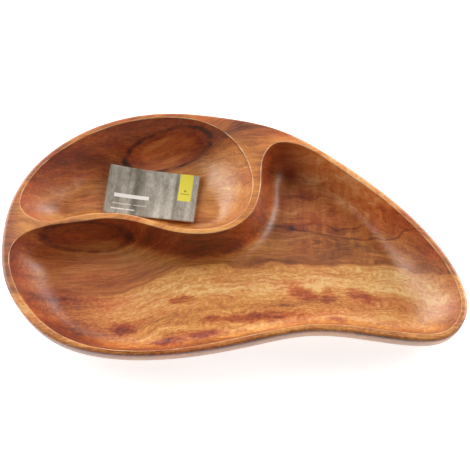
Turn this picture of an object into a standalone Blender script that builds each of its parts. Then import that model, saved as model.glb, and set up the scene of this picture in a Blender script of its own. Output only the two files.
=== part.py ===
"""Chip and dip server: one carved piece of acacia with two wells, and a loose label card.

The tray is a thick plank sawn to a free-form, comma-shaped outline.  Its side rounds under to a
flat base, and two wells are carved down from its flat top, which leaves a narrow rim all round and
a narrow S-shaped divider between the wells.  A small printed card lies in the dip well.

Metres, +Z up.  The origin is at the centre of the tray's footprint, on its flat base.
+X runs along the tray to its narrow tip, and +Y to the side that holds the dip well.
"""
import math

import bmesh
import bpy
import numpy as np
from mathutils import Matrix, Vector
from mathutils.bvhtree import BVHTree

# ---- driving dimensions -------------------------------------------------------------------------
TRAY_LENGTH = 0.457          # 18 in along X
TRAY_WIDTH = 0.268           # 10.5 in along Y
TRAY_HEIGHT = 0.050          # plank thickness, 2 in less planing
CHIP_WELL_DEPTH = 0.038
DIP_WELL_DEPTH = 0.038
RIM_WIDTH = 0.0065           # flat top between the outline and a well
DIVIDER_WIDTH = 0.0065       # flat top between the two wells
WALL_RUN = 0.024             # how far a well's wall reaches in before it meets the floor
WALL_LEAN = 0.40             # share of that run that the steep upper wall would use up
SIDE_INSET = 0.024           # how far the side rounds under, down to the flat base
SIDE_FULLNESS = 0.66         # share of the height down to which the side stays nearly upright
OUTER_ROUND = 0.0030         # radius along the outer edge of the rim
ARRIS = 0.0010               # eased edge where a wall meets the flat top

CARD_WIDTH = 0.094           # 3.7 in
CARD_HEIGHT = 0.054          # 2.1 in
CARD_THICKNESS = 0.0005
CARD_CURL = 0.0070           # how far its far left corner curls up
CARD_CURL_REACH = 0.055      # how far in from that corner the curl starts
CARD_TURN = math.radians(-6.7)
CARD_CLEARANCE = 0.0004      # between the card and the wood that it lies on

# ---- fineness of the meshes ---------------------------------------------------------------------
OUTLINE_STEPS = 4            # points along each span of the outline
WELL_STEPS = 4               # points along each span of a well's edge
SIDE_RINGS = 6
ROUND_RINGS = 3
WALL_RINGS = 8
CUTTER_RISE = 0.010          # how far a cutter stands above the flat top
CARD_STEPS = (14, 8)

# ---- shapes drawn as smooth curves through points, in thousandths of a metre --------------------
# The outline, anticlockwise from its left end: x, y, width of the rim there as a share of RIM_WIDTH.
OUTLINE = (
    (-228, -10, 1.40), (-222, -56, 1.20), (-205, -87, 1.20), (-175, -115, 1.10),
    (-134, -130, 0.80), (-84, -134, 0.75), (-28, -129, 0.90), (26, -118, 1.00),
    (74, -109, 1.00), (124, -112, 1.12), (176, -119, 1.15), (211, -113.5, 1.05),
    (227.5, -91, 0.98), (224, -54, 0.95), (202, -13, 1.00), (160, 35, 1.00),
    (104, 81.5, 1.00), (48, 115, 1.05), (-8, 129, 1.10), (-76, 134, 0.95),
    (-130, 122.5, 1.00), (-178, 95, 0.95), (-208, 62, 0.95), (-223, 28, 1.15),
)
# The middle of the divider, from left to right: x, y, its width as a share of DIVIDER_WIDTH.
DIVIDER = (
    (-188, 5.5, 1.00), (-158, 10.5, 1.00), (-126, 14.8, 1.00), (-94, 10.5, 0.95),
    (-62, 0.5, 0.85), (-30, -2.8, 0.85), (-3, 3, 0.95), (15, 17.5, 1.15),
    (23.5, 38, 1.25), (25.2, 58, 1.45),
)
# Where a well leaves the rim and turns along the divider.
CHIP_LEFT_CORNER = ((-216.5, -16),)
CHIP_LOBE_CORNER = ((62, 98), (44, 97), (31.5, 78))
DIP_LEFT_CORNER = ((-211, 23),)
DIP_RIGHT_CORNER = ((16, 76), (2.5, 100), (-22, 119.5))
CHIP_RIM_POINTS = slice(1, 17)
DIP_RIM_POINTS = slice(19, 23)
# Each well's wall leans in towards its spine: the line that the carver's gouge works down to.
CHIP_SPINE = (
    ((-160, -42), (-95, -58)), ((-95, -58), (40, -48)), ((40, -48), (140, -62)),
    ((40, -48), (66, 62)),
)
DIP_SPINE = (((-155, 48), (-110, 62)), ((-110, 62), (-35, 58)))
# The run of the wall below each point of a well's edge, as a share of WALL_RUN.
CHIP_RUNS = (
    1.90,
    1.95, 1.85, 1.65, 1.45, 1.30, 1.20, 1.15, 1.10, 1.20, 1.60, 2.40, 2.80, 2.60, 2.00, 1.35, 1.05,
    1.10, 1.05, 0.90,
    0.85, 0.85, 0.90, 1.00, 1.05, 1.05, 1.10, 1.15, 1.30, 1.60,
)
DIP_RUNS = (
    1.90,
    1.50, 1.20, 1.05, 1.00, 1.00, 1.05, 1.20, 1.50, 1.85, 2.05,
    2.05, 1.95, 1.80,
    1.65, 1.60, 1.70, 1.85,
)
CARD_CENTRE = ((-83, 56),)   # where the card lies in the dip well

# ---- curves -------------------------------------------------------------------------------------
def closed_slopes(points):
    """Slopes of the smooth closed curve through the points, and the length of each span."""
    count = len(points)
    spans = np.linalg.norm(np.roll(points, -1, axis=0) - points, axis=1)
    matrix = np.zeros((count, count))
    target = np.zeros_like(points)
    for i in range(count):
        before, after = spans[i - 1], spans[i]
        step_in = points[i] - points[i - 1]
        step_out = points[(i + 1) % count] - points[i]
        matrix[i, i - 1] += after
        matrix[i, i] += 2.0 * (before + after)
        matrix[i, (i + 1) % count] += before
        target[i] = 3.0 * (after / before * step_in + before / after * step_out)
    return np.linalg.solve(matrix, target), spans


def closed_curve(points, steps):
    """Points along the smooth closed curve through the points given, steps to each span."""
    points = np.asarray(points, dtype=float)
    slopes, spans = closed_slopes(points)
    samples = []
    for i in range(len(points)):
        j = (i + 1) % len(points)
        for t in np.arange(steps) / steps:
            samples.append(
                (2 * t**3 - 3 * t**2 + 1) * points[i]
                + (t**3 - 2 * t**2 + t) * spans[i] * slopes[i]
                + (3 * t**2 - 2 * t**3) * points[j]
                + (t**3 - t**2) * spans[i] * slopes[j]
            )
    return np.array(samples)


def left_normals(slopes):
    """Unit vectors to the left of each slope, which is inwards on an anticlockwise curve."""
    turned = np.column_stack([-slopes[:, 1], slopes[:, 0]])
    return turned / np.linalg.norm(turned, axis=1)[:, None]


def nearest_on_spine(point, spine):
    """The point of the spine's segments that lies nearest to the point given."""
    best = None
    for start, end in spine:
        start, end = np.array(start, dtype=float), np.array(end, dtype=float)
        along = end - start
        share = np.clip(np.dot(point - start, along) / np.dot(along, along), 0.0, 1.0)
        foot = start + share * along
        if best is None or np.linalg.norm(point - foot) < np.linalg.norm(point - best):
            best = foot
    return best


# ---- the tray's plan ----------------------------------------------------------------------------
def plan_scale():
    """Factors in X and Y, and the middle, that bring the drawn outline to the tray's size."""
    samples = closed_curve(np.array(OUTLINE)[:, :2], OUTLINE_STEPS)
    low, high = samples.min(axis=0), samples.max(axis=0)
    return np.array([TRAY_LENGTH, TRAY_WIDTH]) / (high - low), (low + high) / 2.0


def placed(points):
    """Drawn points, in thousandths, at their place on the tray, in metres."""
    factors, middle = plan_scale()
    return (np.asarray(points, dtype=float) - middle) * factors


def outline_points():
    return placed(np.array(OUTLINE)[:, :2])


def rim_edge():
    """The inner edge of the rim opposite each point of the outline."""
    points = outline_points()
    slopes, _ = closed_slopes(points)
    widths = np.array(OUTLINE)[:, 2] * RIM_WIDTH
    return points + left_normals(slopes) * widths[:, None]


def divider_edge(side):
    """The divider's edge on the dip side (side = 1) or on the chip side (side = -1)."""
    drawn = np.array(DIVIDER)
    points = placed(drawn[:, :2])
    normals = left_normals(np.gradient(points, axis=0))
    return points + side * normals * (drawn[:, 2] * DIVIDER_WIDTH / 2.0)[:, None]


def chip_well_edge():
    return np.vstack([
        placed(CHIP_LEFT_CORNER),
        rim_edge()[CHIP_RIM_POINTS],
        placed(CHIP_LOBE_CORNER),
        divider_edge(-1)[::-1],
    ])


def dip_well_edge():
    return np.vstack([
        placed(DIP_LEFT_CORNER),
        divider_edge(1),
        placed(DIP_RIGHT_CORNER),
        rim_edge()[DIP_RIM_POINTS],
    ])


def floor_edge(edge, spine, runs):
    """Where the wall below each point of a well's edge meets the floor."""
    placed_spine = [placed(segment) for segment in spine]
    feet = []
    for point, run in zip(edge, runs, strict=True):
        towards = nearest_on_spine(point, placed_spine) - point
        feet.append(point + towards / np.linalg.norm(towards) * run * WALL_RUN)
    return np.array(feet)


# ---- building meshes ----------------------------------------------------------------------------
def loft(name, rings):
    """A closed solid through a stack of matching rings, top ring first, with flat ends."""
    mesh = bmesh.new()
    stacks = [[mesh.verts.new(point) for point in ring] for ring in rings]
    for upper, lower in zip(stacks, stacks[1:]):
        for i in range(len(upper)):
            j = (i + 1) % len(upper)
            mesh.faces.new((upper[j], upper[i], lower[i], lower[j]))
    mesh.faces.new(stacks[0])
    mesh.faces.new(stacks[-1][::-1])
    bmesh.ops.recalc_face_normals(mesh, faces=mesh.faces)
    data = bpy.data.meshes.new(name)
    mesh.to_mesh(data)
    mesh.free()
    body = bpy.data.objects.new(name, data)
    bpy.context.collection.objects.link(body)
    return body


def ring_at(points, height):
    return [(x, y, height) for x, y in points]


def material(name, colour, roughness):
    """A Principled material, with its colour in linear light."""
    surface = bpy.data.materials.new(name)
    surface.use_nodes = True
    surface.diffuse_color = (*colour, 1.0)
    shader = surface.node_tree.nodes["Principled BSDF"]
    shader.inputs["Base Color"].default_value = (*colour, 1.0)
    shader.inputs["Roughness"].default_value = roughness
    shader.inputs["Metallic"].default_value = 0.0
    return surface


# ---- the tray -----------------------------------------------------------------------------------
def tray_blank():
    """The sawn plank with its rounded rim edge and its side shaped under to the flat base."""
    edge = closed_curve(outline_points(), OUTLINE_STEPS)
    ahead, behind = np.roll(edge, -1, axis=0), np.roll(edge, 1, axis=0)
    inward = left_normals(ahead - behind)
    rings = []
    for angle in np.linspace(90.0, 0.0, ROUND_RINGS + 1):
        turn = math.radians(angle)
        inset = OUTER_ROUND * (1.0 - math.cos(turn))
        height = TRAY_HEIGHT - OUTER_ROUND * (1.0 - math.sin(turn))
        rings.append(ring_at(edge + inward * inset, height))
    top = TRAY_HEIGHT - OUTER_ROUND
    shoulder = TRAY_HEIGHT * (1.0 - SIDE_FULLNESS)
    for t in np.linspace(0.0, 1.0, SIDE_RINGS + 1)[1:]:
        inset = t**2 * SIDE_INSET
        height = (1 - t) ** 2 * top + 2 * t * (1 - t) * shoulder
        rings.append(ring_at(edge + inward * inset, height))
    return loft("carved_tray", rings)


def well_cutter(name, edge, floor, depth):
    """The space of one well, from above the flat top down its walls to its flat floor."""
    top = closed_curve(edge, WELL_STEPS)
    foot = closed_curve(floor, WELL_STEPS)
    away = top - foot
    away /= np.linalg.norm(away, axis=1)[:, None]
    eased = top + away * ARRIS
    wall_height = depth - ARRIS
    rings = [ring_at(eased, TRAY_HEIGHT + CUTTER_RISE), ring_at(eased, TRAY_HEIGHT)]
    for t in np.linspace(0.0, 1.0, WALL_RINGS + 1):
        inward = 2 * t * (1 - t) * WALL_LEAN + t**2
        drop = 2 * t * (1 - t) + t**2
        rings.append(ring_at(top + (foot - top) * inward, TRAY_HEIGHT - ARRIS - wall_height * drop))
    cutter = loft(name, rings)
    cutter.hide_render = True
    cutter.display_type = "WIRE"
    return cutter


def carve(body, cutter):
    cut = body.modifiers.new(cutter.name, "BOOLEAN")
    cut.operation = "DIFFERENCE"
    cut.solver = "EXACT"
    cut.object = cutter


def build_tray():
    tray = tray_blank()
    chip_edge, dip_edge = chip_well_edge(), dip_well_edge()
    chip_floor = floor_edge(chip_edge, CHIP_SPINE, CHIP_RUNS)
    dip_floor = floor_edge(dip_edge, DIP_SPINE, DIP_RUNS)
    carve(tray, well_cutter("chip_well_cutter", chip_edge, chip_floor, CHIP_WELL_DEPTH))
    carve(tray, well_cutter("dip_well_cutter", dip_edge, dip_floor, DIP_WELL_DEPTH))
    tray.data.materials.append(material("oiled_acacia", (0.36, 0.135, 0.042), 0.42))
    tray.data.shade_smooth()
    tray.data.set_sharp_from_angle(angle=math.radians(40.0))
    return tray


# ---- the label card -----------------------------------------------------------------------------
def card_sheet():
    """The card flat about its centre, but for the far left corner that curls up."""
    corner = np.array([-CARD_WIDTH, CARD_HEIGHT]) / 2.0
    towards_corner = corner / np.linalg.norm(corner)
    steps_x, steps_y = CARD_STEPS
    faces = []
    for height in (CARD_THICKNESS, 0.0):
        rows = []
        for y in np.linspace(-CARD_HEIGHT / 2.0, CARD_HEIGHT / 2.0, steps_y + 1):
            row = []
            for x in np.linspace(-CARD_WIDTH / 2.0, CARD_WIDTH / 2.0, steps_x + 1):
                from_corner = np.dot(corner - (x, y), towards_corner)
                lift = CARD_CURL * max(0.0, 1.0 - from_corner / CARD_CURL_REACH) ** 2
                row.append((x, y, height + lift))
            rows.append(row)
        faces.append(rows)
    return faces


def build_card(tray):
    """A thin card, let down into the dip well until it lies just clear of the wood."""
    mesh = bmesh.new()
    upper, lower = [[[mesh.verts.new(point) for point in row] for row in face]
                    for face in card_sheet()]
    for j in range(len(upper) - 1):
        for i in range(len(upper[0]) - 1):
            mesh.faces.new((upper[j][i], upper[j][i + 1], upper[j + 1][i + 1], upper[j + 1][i]))
            mesh.faces.new((lower[j][i], lower[j + 1][i], lower[j + 1][i + 1], lower[j][i + 1]))
    bmesh.ops.bridge_loops(mesh, edges=[edge for edge in mesh.edges if edge.is_boundary])
    bmesh.ops.recalc_face_normals(mesh, faces=mesh.faces)
    data = bpy.data.meshes.new("label_card")
    mesh.to_mesh(data)
    mesh.free()
    card = bpy.data.objects.new("label_card", data)
    bpy.context.collection.objects.link(card)
    card.data.materials.append(material("printed_card", (0.30, 0.29, 0.25), 0.6))
    turn = Matrix.Rotation(CARD_TURN, 4, "Z")
    above = Vector((*placed(CARD_CENTRE)[0], TRAY_HEIGHT))
    bpy.context.view_layer.update()
    wood = BVHTree.FromObject(tray, bpy.context.evaluated_depsgraph_get())
    down = Vector((0.0, 0.0, -1.0))
    gaps = []
    for vert in data.vertices:
        corner = above + turn @ vert.co
        gaps.append(corner.z - wood.ray_cast(corner, down)[0].z)
    card.matrix_world = Matrix.Translation(above + down * (min(gaps) - CARD_CLEARANCE)) @ turn
    return card


def clear_scene():
    for thing in list(bpy.data.objects):
        bpy.data.objects.remove(thing, do_unlink=True)


def main():
    clear_scene()
    tray = build_tray()
    build_card(tray)


main()
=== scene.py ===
# %% [markdown]
# # A carved chip and dip server
# The server is one thick plank of oiled acacia.  A free-form outline is sawn, the side is rounded
# under to a flat base, and a broad chip well and a smaller dip well are gouged from the flat top.
# What stays standing is a narrow rim and a narrow S-shaped divider.  A small printed card lies
# loose in the dip well.
#
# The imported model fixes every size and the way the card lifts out.  This script makes the fine
# surfaces around it: a smooth carved tray, a curled card, and what wood and print look like.

# %% Load the fixed frame
import math

import bmesh
import bpy
import numpy as np
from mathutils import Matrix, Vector
from mathutils.geometry import delaunay_2d_cdt


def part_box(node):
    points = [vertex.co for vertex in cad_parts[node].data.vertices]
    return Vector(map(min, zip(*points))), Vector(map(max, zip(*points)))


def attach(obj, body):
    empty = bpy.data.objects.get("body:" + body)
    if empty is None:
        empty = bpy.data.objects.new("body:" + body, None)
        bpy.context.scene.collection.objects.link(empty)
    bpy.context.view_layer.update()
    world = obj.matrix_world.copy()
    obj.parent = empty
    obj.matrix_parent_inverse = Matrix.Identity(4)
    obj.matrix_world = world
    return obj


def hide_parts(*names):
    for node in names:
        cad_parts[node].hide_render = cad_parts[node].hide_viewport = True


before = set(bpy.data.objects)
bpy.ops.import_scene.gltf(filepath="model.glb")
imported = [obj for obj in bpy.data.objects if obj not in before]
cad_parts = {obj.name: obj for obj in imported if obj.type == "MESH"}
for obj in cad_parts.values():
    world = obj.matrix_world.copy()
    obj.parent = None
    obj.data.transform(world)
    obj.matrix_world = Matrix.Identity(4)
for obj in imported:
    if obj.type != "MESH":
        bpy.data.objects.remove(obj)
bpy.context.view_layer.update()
TRAY_LOW, TRAY_HIGH = (np.array(corner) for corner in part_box("carved_tray"))
CARD_LOW = np.array(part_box("label_card")[0])
TOP = float(TRAY_HIGH[2])
print("tray from", TRAY_LOW.round(4), "to", TRAY_HIGH.round(4))

# %% [markdown]
# ## Two helpers
# Colours are written as the sRGB hex values a painter would read off, and one function turns them
# into the linear light that shaders work in.  A second small function adds a node with its
# settings and its inputs; it serves both Geometry Nodes and materials.


# %% Colour and node helpers
def linear(hex_colour):
    """Linear RGBA from an sRGB hex value such as "b8703a"."""
    channels = [int(hex_colour[i:i + 2], 16) / 255.0 for i in (0, 2, 4)]
    return tuple(
        c / 12.92 if c <= 0.04045 else ((c + 0.055) / 1.055) ** 2.4 for c in channels
    ) + (1.0,)


def add(tree, kind, inputs=None, **settings):
    """Add a node; an input is a value, or another node's output to link from."""
    node = tree.nodes.new(kind)
    for name, value in settings.items():
        setattr(node, name, value)
    for key, value in (inputs or {}).items():
        if isinstance(value, bpy.types.NodeSocket):
            tree.links.new(value, node.inputs[key])
        else:
            node.inputs[key].default_value = value
    return node


print("mid grey as linear light:", round(linear("808080")[0], 3))

# %% [markdown]
# ## The plan
# The carver draws three closed lines on the plank: its outline and the edge of each well.  A few
# points fix each line, and a smooth periodic spline runs through them, so that slope and curvature
# never jump and a highlight runs along the rim without a break.  The rim and the divider keep
# their widths because the wells' edges are worked out from the outline and from the middle line of
# the divider.

# %% Sizes that the plan needs, in metres
RIM_WIDTH = 0.0065
DIVIDER_WIDTH = 0.0065
WELL_DEPTH = 0.038
WALL_RUN = 0.024
WALL_LEAN = 0.40
SIDE_INSET = 0.024
SIDE_FULLNESS = 0.66
OUTER_ROUND = 0.0030
ARRIS = 0.0010
print("rim", RIM_WIDTH * 1000, "mm and wells", WELL_DEPTH * 1000, "mm deep")

# %% Lines drawn on the plank, in thousandths of a metre
# The outline, anticlockwise from its left end: x, y, width of the rim there as a share of RIM_WIDTH.
OUTLINE = (
    (-228, -10, 1.40), (-222, -56, 1.20), (-205, -87, 1.20), (-175, -115, 1.10),
    (-134, -130, 0.80), (-84, -134, 0.75), (-28, -129, 0.90), (26, -118, 1.00),
    (74, -109, 1.00), (124, -112, 1.12), (176, -119, 1.15), (211, -113.5, 1.05),
    (227.5, -91, 0.98), (224, -54, 0.95), (202, -13, 1.00), (160, 35, 1.00),
    (104, 81.5, 1.00), (48, 115, 1.05), (-8, 129, 1.10), (-76, 134, 0.95),
    (-130, 122.5, 1.00), (-178, 95, 0.95), (-208, 62, 0.95), (-223, 28, 1.15),
)
# The middle of the divider, from left to right: x, y, its width as a share of DIVIDER_WIDTH.
DIVIDER = (
    (-188, 5.5, 1.00), (-158, 10.5, 1.00), (-126, 14.8, 1.00), (-94, 10.5, 0.95),
    (-62, 0.5, 0.85), (-30, -2.8, 0.85), (-3, 3, 0.95), (15, 17.5, 1.15),
    (23.5, 38, 1.25), (25.2, 58, 1.45),
)
# Where a well leaves the rim and turns along the divider.
CHIP_LEFT_CORNER = ((-216.5, -16),)
CHIP_LOBE_CORNER = ((62, 98), (44, 97), (31.5, 78))
DIP_LEFT_CORNER = ((-211, 23),)
DIP_RIGHT_CORNER = ((16, 76), (2.5, 100), (-22, 119.5))
CHIP_RIM_POINTS = slice(1, 17)
DIP_RIM_POINTS = slice(19, 23)
# Each well's wall leans in towards its spine: the line that the carver's gouge works down to.
CHIP_SPINE = (
    ((-160, -42), (-95, -58)), ((-95, -58), (40, -48)), ((40, -48), (140, -62)),
    ((40, -48), (66, 62)),
)
DIP_SPINE = (((-155, 48), (-110, 62)), ((-110, 62), (-35, 58)))
# The run of the wall below each point of a well's edge, as a share of WALL_RUN.
CHIP_RUNS = (
    1.90,
    1.95, 1.85, 1.65, 1.45, 1.30, 1.20, 1.15, 1.10, 1.20, 1.60, 2.40, 2.80, 2.60, 2.00, 1.35, 1.05,
    1.10, 1.05, 0.90,
    0.85, 0.85, 0.90, 1.00, 1.05, 1.05, 1.10, 1.15, 1.30, 1.60,
)
DIP_RUNS = (
    1.90,
    1.50, 1.20, 1.05, 1.00, 1.00, 1.05, 1.20, 1.50, 1.85, 2.05,
    2.05, 1.95, 1.80,
    1.65, 1.60, 1.70, 1.85,
)
print(len(OUTLINE), "points for the outline and", len(DIVIDER), "for the divider")


# %% Smooth closed curves
def closed_slopes(points):
    """Slopes of the smooth closed curve through the points, and the length of each span."""
    count = len(points)
    spans = np.linalg.norm(np.roll(points, -1, axis=0) - points, axis=1)
    matrix = np.zeros((count, count))
    target = np.zeros_like(points)
    for i in range(count):
        before = spans[i - 1]
        after = spans[i]
        step_in = points[i] - points[i - 1]
        step_out = points[(i + 1) % count] - points[i]
        matrix[i, i - 1] += after
        matrix[i, i] += 2.0 * (before + after)
        matrix[i, (i + 1) % count] += before
        target[i] = 3.0 * (after / before * step_in + before / after * step_out)
    return np.linalg.solve(matrix, target), spans


def closed_curve(points, steps):
    """Points along the smooth closed curve through the points given, steps to each span."""
    points = np.asarray(points, dtype=float)
    slopes, spans = closed_slopes(points)
    samples = []
    for i in range(len(points)):
        j = (i + 1) % len(points)
        for t in np.arange(steps) / steps:
            samples.append(
                (2 * t**3 - 3 * t**2 + 1) * points[i]
                + (t**3 - 2 * t**2 + t) * spans[i] * slopes[i]
                + (3 * t**2 - 2 * t**3) * points[j]
                + (t**3 - t**2) * spans[i] * slopes[j]
            )
    return np.array(samples)


def left_normals(slopes):
    """Unit vectors to the left of each slope, which is inwards on an anticlockwise curve."""
    turned = np.column_stack([-slopes[:, 1], slopes[:, 0]])
    return turned / np.linalg.norm(turned, axis=1)[:, None]


def nearest_on_spine(point, spine):
    """The point of the spine's segments that lies nearest to the point given."""
    feet = []
    for start, end in spine:
        along = end - start
        share = np.clip(np.dot(point - start, along) / np.dot(along, along), 0.0, 1.0)
        feet.append(start + share * along)
    return min(feet, key=lambda foot: np.linalg.norm(point - foot))


round_square = closed_curve(((0, 0), (1, 0), (1, 1), (0, 1)), 4)
print("a closed curve through a square's corners is", np.ptp(round_square, axis=0).round(3))

# %% The three lines at the tray's size
drawn_outline = np.array(OUTLINE)
samples = closed_curve(drawn_outline[:, :2], 24)
drawn_middle = (samples.min(axis=0) + samples.max(axis=0)) / 2.0
drawn_scale = (TRAY_HIGH - TRAY_LOW)[:2] / np.ptp(samples, axis=0)
tray_middle = (TRAY_LOW + TRAY_HIGH)[:2] / 2.0


def placed(points):
    """Drawn points at their place on the tray, in metres."""
    return (np.asarray(points, dtype=float) - drawn_middle) * drawn_scale + tray_middle


outline = placed(drawn_outline[:, :2])
outline_slopes, _ = closed_slopes(outline)
rim_edge = outline + left_normals(outline_slopes) * drawn_outline[:, 2:] * RIM_WIDTH
divider = placed(np.array(DIVIDER)[:, :2])
across_divider = left_normals(np.gradient(divider, axis=0))
across_divider *= np.array(DIVIDER)[:, 2:] * DIVIDER_WIDTH / 2.0
chip_edge = np.vstack([
    placed(CHIP_LEFT_CORNER), rim_edge[CHIP_RIM_POINTS],
    placed(CHIP_LOBE_CORNER), (divider - across_divider)[::-1],
])
dip_edge = np.vstack([
    placed(DIP_LEFT_CORNER), divider + across_divider,
    placed(DIP_RIGHT_CORNER), rim_edge[DIP_RIM_POINTS],
])


def floor_edge(edge, spine, runs):
    """Where the wall below each point of a well's edge meets the floor."""
    placed_spine = [placed(segment) for segment in spine]
    feet = []
    for point, run in zip(edge, runs, strict=True):
        towards = nearest_on_spine(point, placed_spine) - point
        feet.append(point + towards / np.linalg.norm(towards) * run * WALL_RUN)
    return np.array(feet)


chip_floor = floor_edge(chip_edge, CHIP_SPINE, CHIP_RUNS)
dip_floor = floor_edge(dip_edge, DIP_SPINE, DIP_RUNS)
print("outline", len(outline), "points, chip well", len(chip_edge), "dip well", len(dip_edge))

# %% [markdown]
# ## Carving with Geometry Nodes
# Every curved face of the tray follows one rule: a profile travels round a closed line, and at
# each point it is stretched to reach from the line to a matching inner line.  The rounded side,
# the chip well and the dip well are the same rule with three profiles, so one node tree makes all
# three.  The tree takes a ring of edges whose points carry an "inward" vector, samples the profile
# row by row, and sets the points of a grid.  A little low, slow noise along the way leaves the
# surface as uneven as hand sanding does, and it fades to nothing where faces meet.
#
# Cutting the wells with a Boolean would give the same form, but its long thin triangles would
# show in every highlight.


# %% The tree that carries a profile round a ring
SAME_PLACE = 0.00001


def build_carving_tree():
    """The Geometry Nodes tree that turns a ring and a profile into one curved face."""
    tree = bpy.data.node_groups.new("carve_round_a_line", "GeometryNodeTree")
    tree.is_modifier = True
    for name, kind, way in (
        ("Ring", "NodeSocketGeometry", "INPUT"),
        ("Profile", "NodeSocketObject", "INPUT"),
        ("Top Height", "NodeSocketFloat", "INPUT"),
        ("Unevenness", "NodeSocketFloat", "INPUT"),
        ("Unevenness Scale", "NodeSocketFloat", "INPUT"),
        ("Seed", "NodeSocketFloat", "INPUT"),
        ("Material", "NodeSocketMaterial", "INPUT"),
        ("Surface", "NodeSocketGeometry", "OUTPUT"),
    ):
        tree.interface.new_socket(name, in_out=way, socket_type=kind)
    given = add(tree, "NodeGroupInput").outputs
    profile = add(tree, "GeometryNodeObjectInfo", {"Object": given["Profile"]})
    around = add(tree, "GeometryNodeAttributeDomainSize", {0: given["Ring"]})
    down = add(tree, "GeometryNodeAttributeDomainSize", {0: profile.outputs["Geometry"]})
    columns = add(tree, "ShaderNodeMath", {0: around.outputs["Point Count"], 1: 1.0})
    grid = add(tree, "GeometryNodeMeshGrid", {
        "Vertices X": columns.outputs[0], "Vertices Y": down.outputs["Point Count"],
    })
    index = add(tree, "GeometryNodeInputIndex").outputs[0]
    rows = down.outputs["Point Count"]
    row = add(tree, "ShaderNodeMath", {0: index, 1: rows}, operation="MODULO")
    whole = add(tree, "ShaderNodeMath", {0: index, 1: row.outputs[0]}, operation="SUBTRACT")
    column = add(tree, "ShaderNodeMath", {0: whole.outputs[0], 1: rows}, operation="DIVIDE")
    column = add(tree, "ShaderNodeMath", {0: column.outputs[0], 1: 0.5})
    column = add(tree, "ShaderNodeMath", {0: column.outputs[0]}, operation="FLOOR")
    station = add(tree, "ShaderNodeMath", {
        0: column.outputs[0], 1: around.outputs["Point Count"],
    }, operation="MODULO")
    position = add(tree, "GeometryNodeInputPosition").outputs[0]
    inward_name = add(tree, "GeometryNodeInputNamedAttribute", {"Name": "inward"},
                      data_type="FLOAT_VECTOR")

    def sampled(geometry, value, at):
        node = add(tree, "GeometryNodeSampleIndex", {
            "Geometry": geometry, "Value": value, "Index": at,
        }, data_type="FLOAT_VECTOR", domain="POINT")
        return node.outputs[0]

    edge = sampled(given["Ring"], position, station.outputs[0])
    inward = sampled(given["Ring"], inward_name.outputs[0], station.outputs[0])
    shape = sampled(profile.outputs["Geometry"], position, row.outputs[0])
    parts = add(tree, "ShaderNodeSeparateXYZ", {0: shape}).outputs
    unit = add(tree, "ShaderNodeVectorMath", {0: inward}, operation="NORMALIZE").outputs[0]
    by_share = add(tree, "ShaderNodeVectorMath", {0: inward, "Scale": parts["X"]},
                   operation="SCALE")
    by_length = add(tree, "ShaderNodeVectorMath", {0: unit, "Scale": parts["Y"]},
                    operation="SCALE")
    height = add(tree, "ShaderNodeMath", {0: given["Top Height"], 1: parts["Z"]})
    lifted = add(tree, "ShaderNodeCombineXYZ", {"Z": height.outputs[0]})
    # The profile's three numbers become a share of the run, a length inwards and a height.
    place = edge
    for step in (by_share, by_length, lifted):
        moved = add(tree, "ShaderNodeVectorMath", {0: place, 1: step.outputs[0]})
        place = moved.outputs[0]
    # The unevenness is nothing at the first and last row, and greatest halfway between them.
    last_row = add(tree, "ShaderNodeMath", {0: rows, 1: 1.0}, operation="SUBTRACT")
    share = add(tree, "ShaderNodeMath", {0: row.outputs[0], 1: last_row.outputs[0]},
                operation="DIVIDE")
    angle = add(tree, "ShaderNodeMath", {0: share.outputs[0], 1: math.pi}, operation="MULTIPLY")
    fade = add(tree, "ShaderNodeMath", {0: angle.outputs[0]}, operation="SINE")
    noise = add(tree, "ShaderNodeTexNoise", {
        "Vector": place, "W": given["Seed"], "Scale": given["Unevenness Scale"], "Detail": 1.0,
    }, noise_dimensions="4D")
    swing = add(tree, "ShaderNodeMath", {0: noise.outputs[0], 1: 0.5}, operation="SUBTRACT")
    swing = add(tree, "ShaderNodeMath", {0: swing.outputs[0], 1: fade.outputs[0]},
                operation="MULTIPLY")
    swing = add(tree, "ShaderNodeMath", {0: swing.outputs[0], 1: given["Unevenness"]},
                operation="MULTIPLY")
    sideways = add(tree, "ShaderNodeVectorMath", {0: unit, "Scale": swing.outputs[0]},
                   operation="SCALE")
    place = add(tree, "ShaderNodeVectorMath", {0: place, 1: sideways.outputs[0]}).outputs[0]
    surface = add(tree, "GeometryNodeSetPosition", {
        "Geometry": grid.outputs["Mesh"], "Position": place,
    }).outputs[0]
    for kind, inputs in (
        ("GeometryNodeMergeByDistance", {"Distance": SAME_PLACE}),
        ("GeometryNodeRealizeInstances", {}),
        ("GeometryNodeSetMaterial", {"Material": given["Material"]}),
    ):
        surface = add(tree, kind, {"Geometry": surface, **inputs}).outputs[0]
    add(tree, "NodeGroupOutput", {"Surface": surface})
    return tree


carving_tree = build_carving_tree()
print("carving tree:", len(carving_tree.nodes), "nodes")


# %% Profiles, as points of (share of the run, metres inwards, metres up from the top)
ARRIS_ROWS = 6
CORNER_ROWS = 8
# A guard row on the flat top keeps the shading of the flat face off the rounded edge.
WELL_GUARD = 2.0 * ARRIS
SIDE_GUARD = 1.15 * OUTER_ROUND


def rounded_corner(radius, steps):
    """A quarter circle from the flat top to the upright side, measured from the upright side."""
    turns = np.linspace(math.pi / 2.0, 0.0, steps + 1)
    return [(0.0, radius * (1.0 - math.cos(a)), -radius * (1.0 - math.sin(a))) for a in turns]


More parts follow.
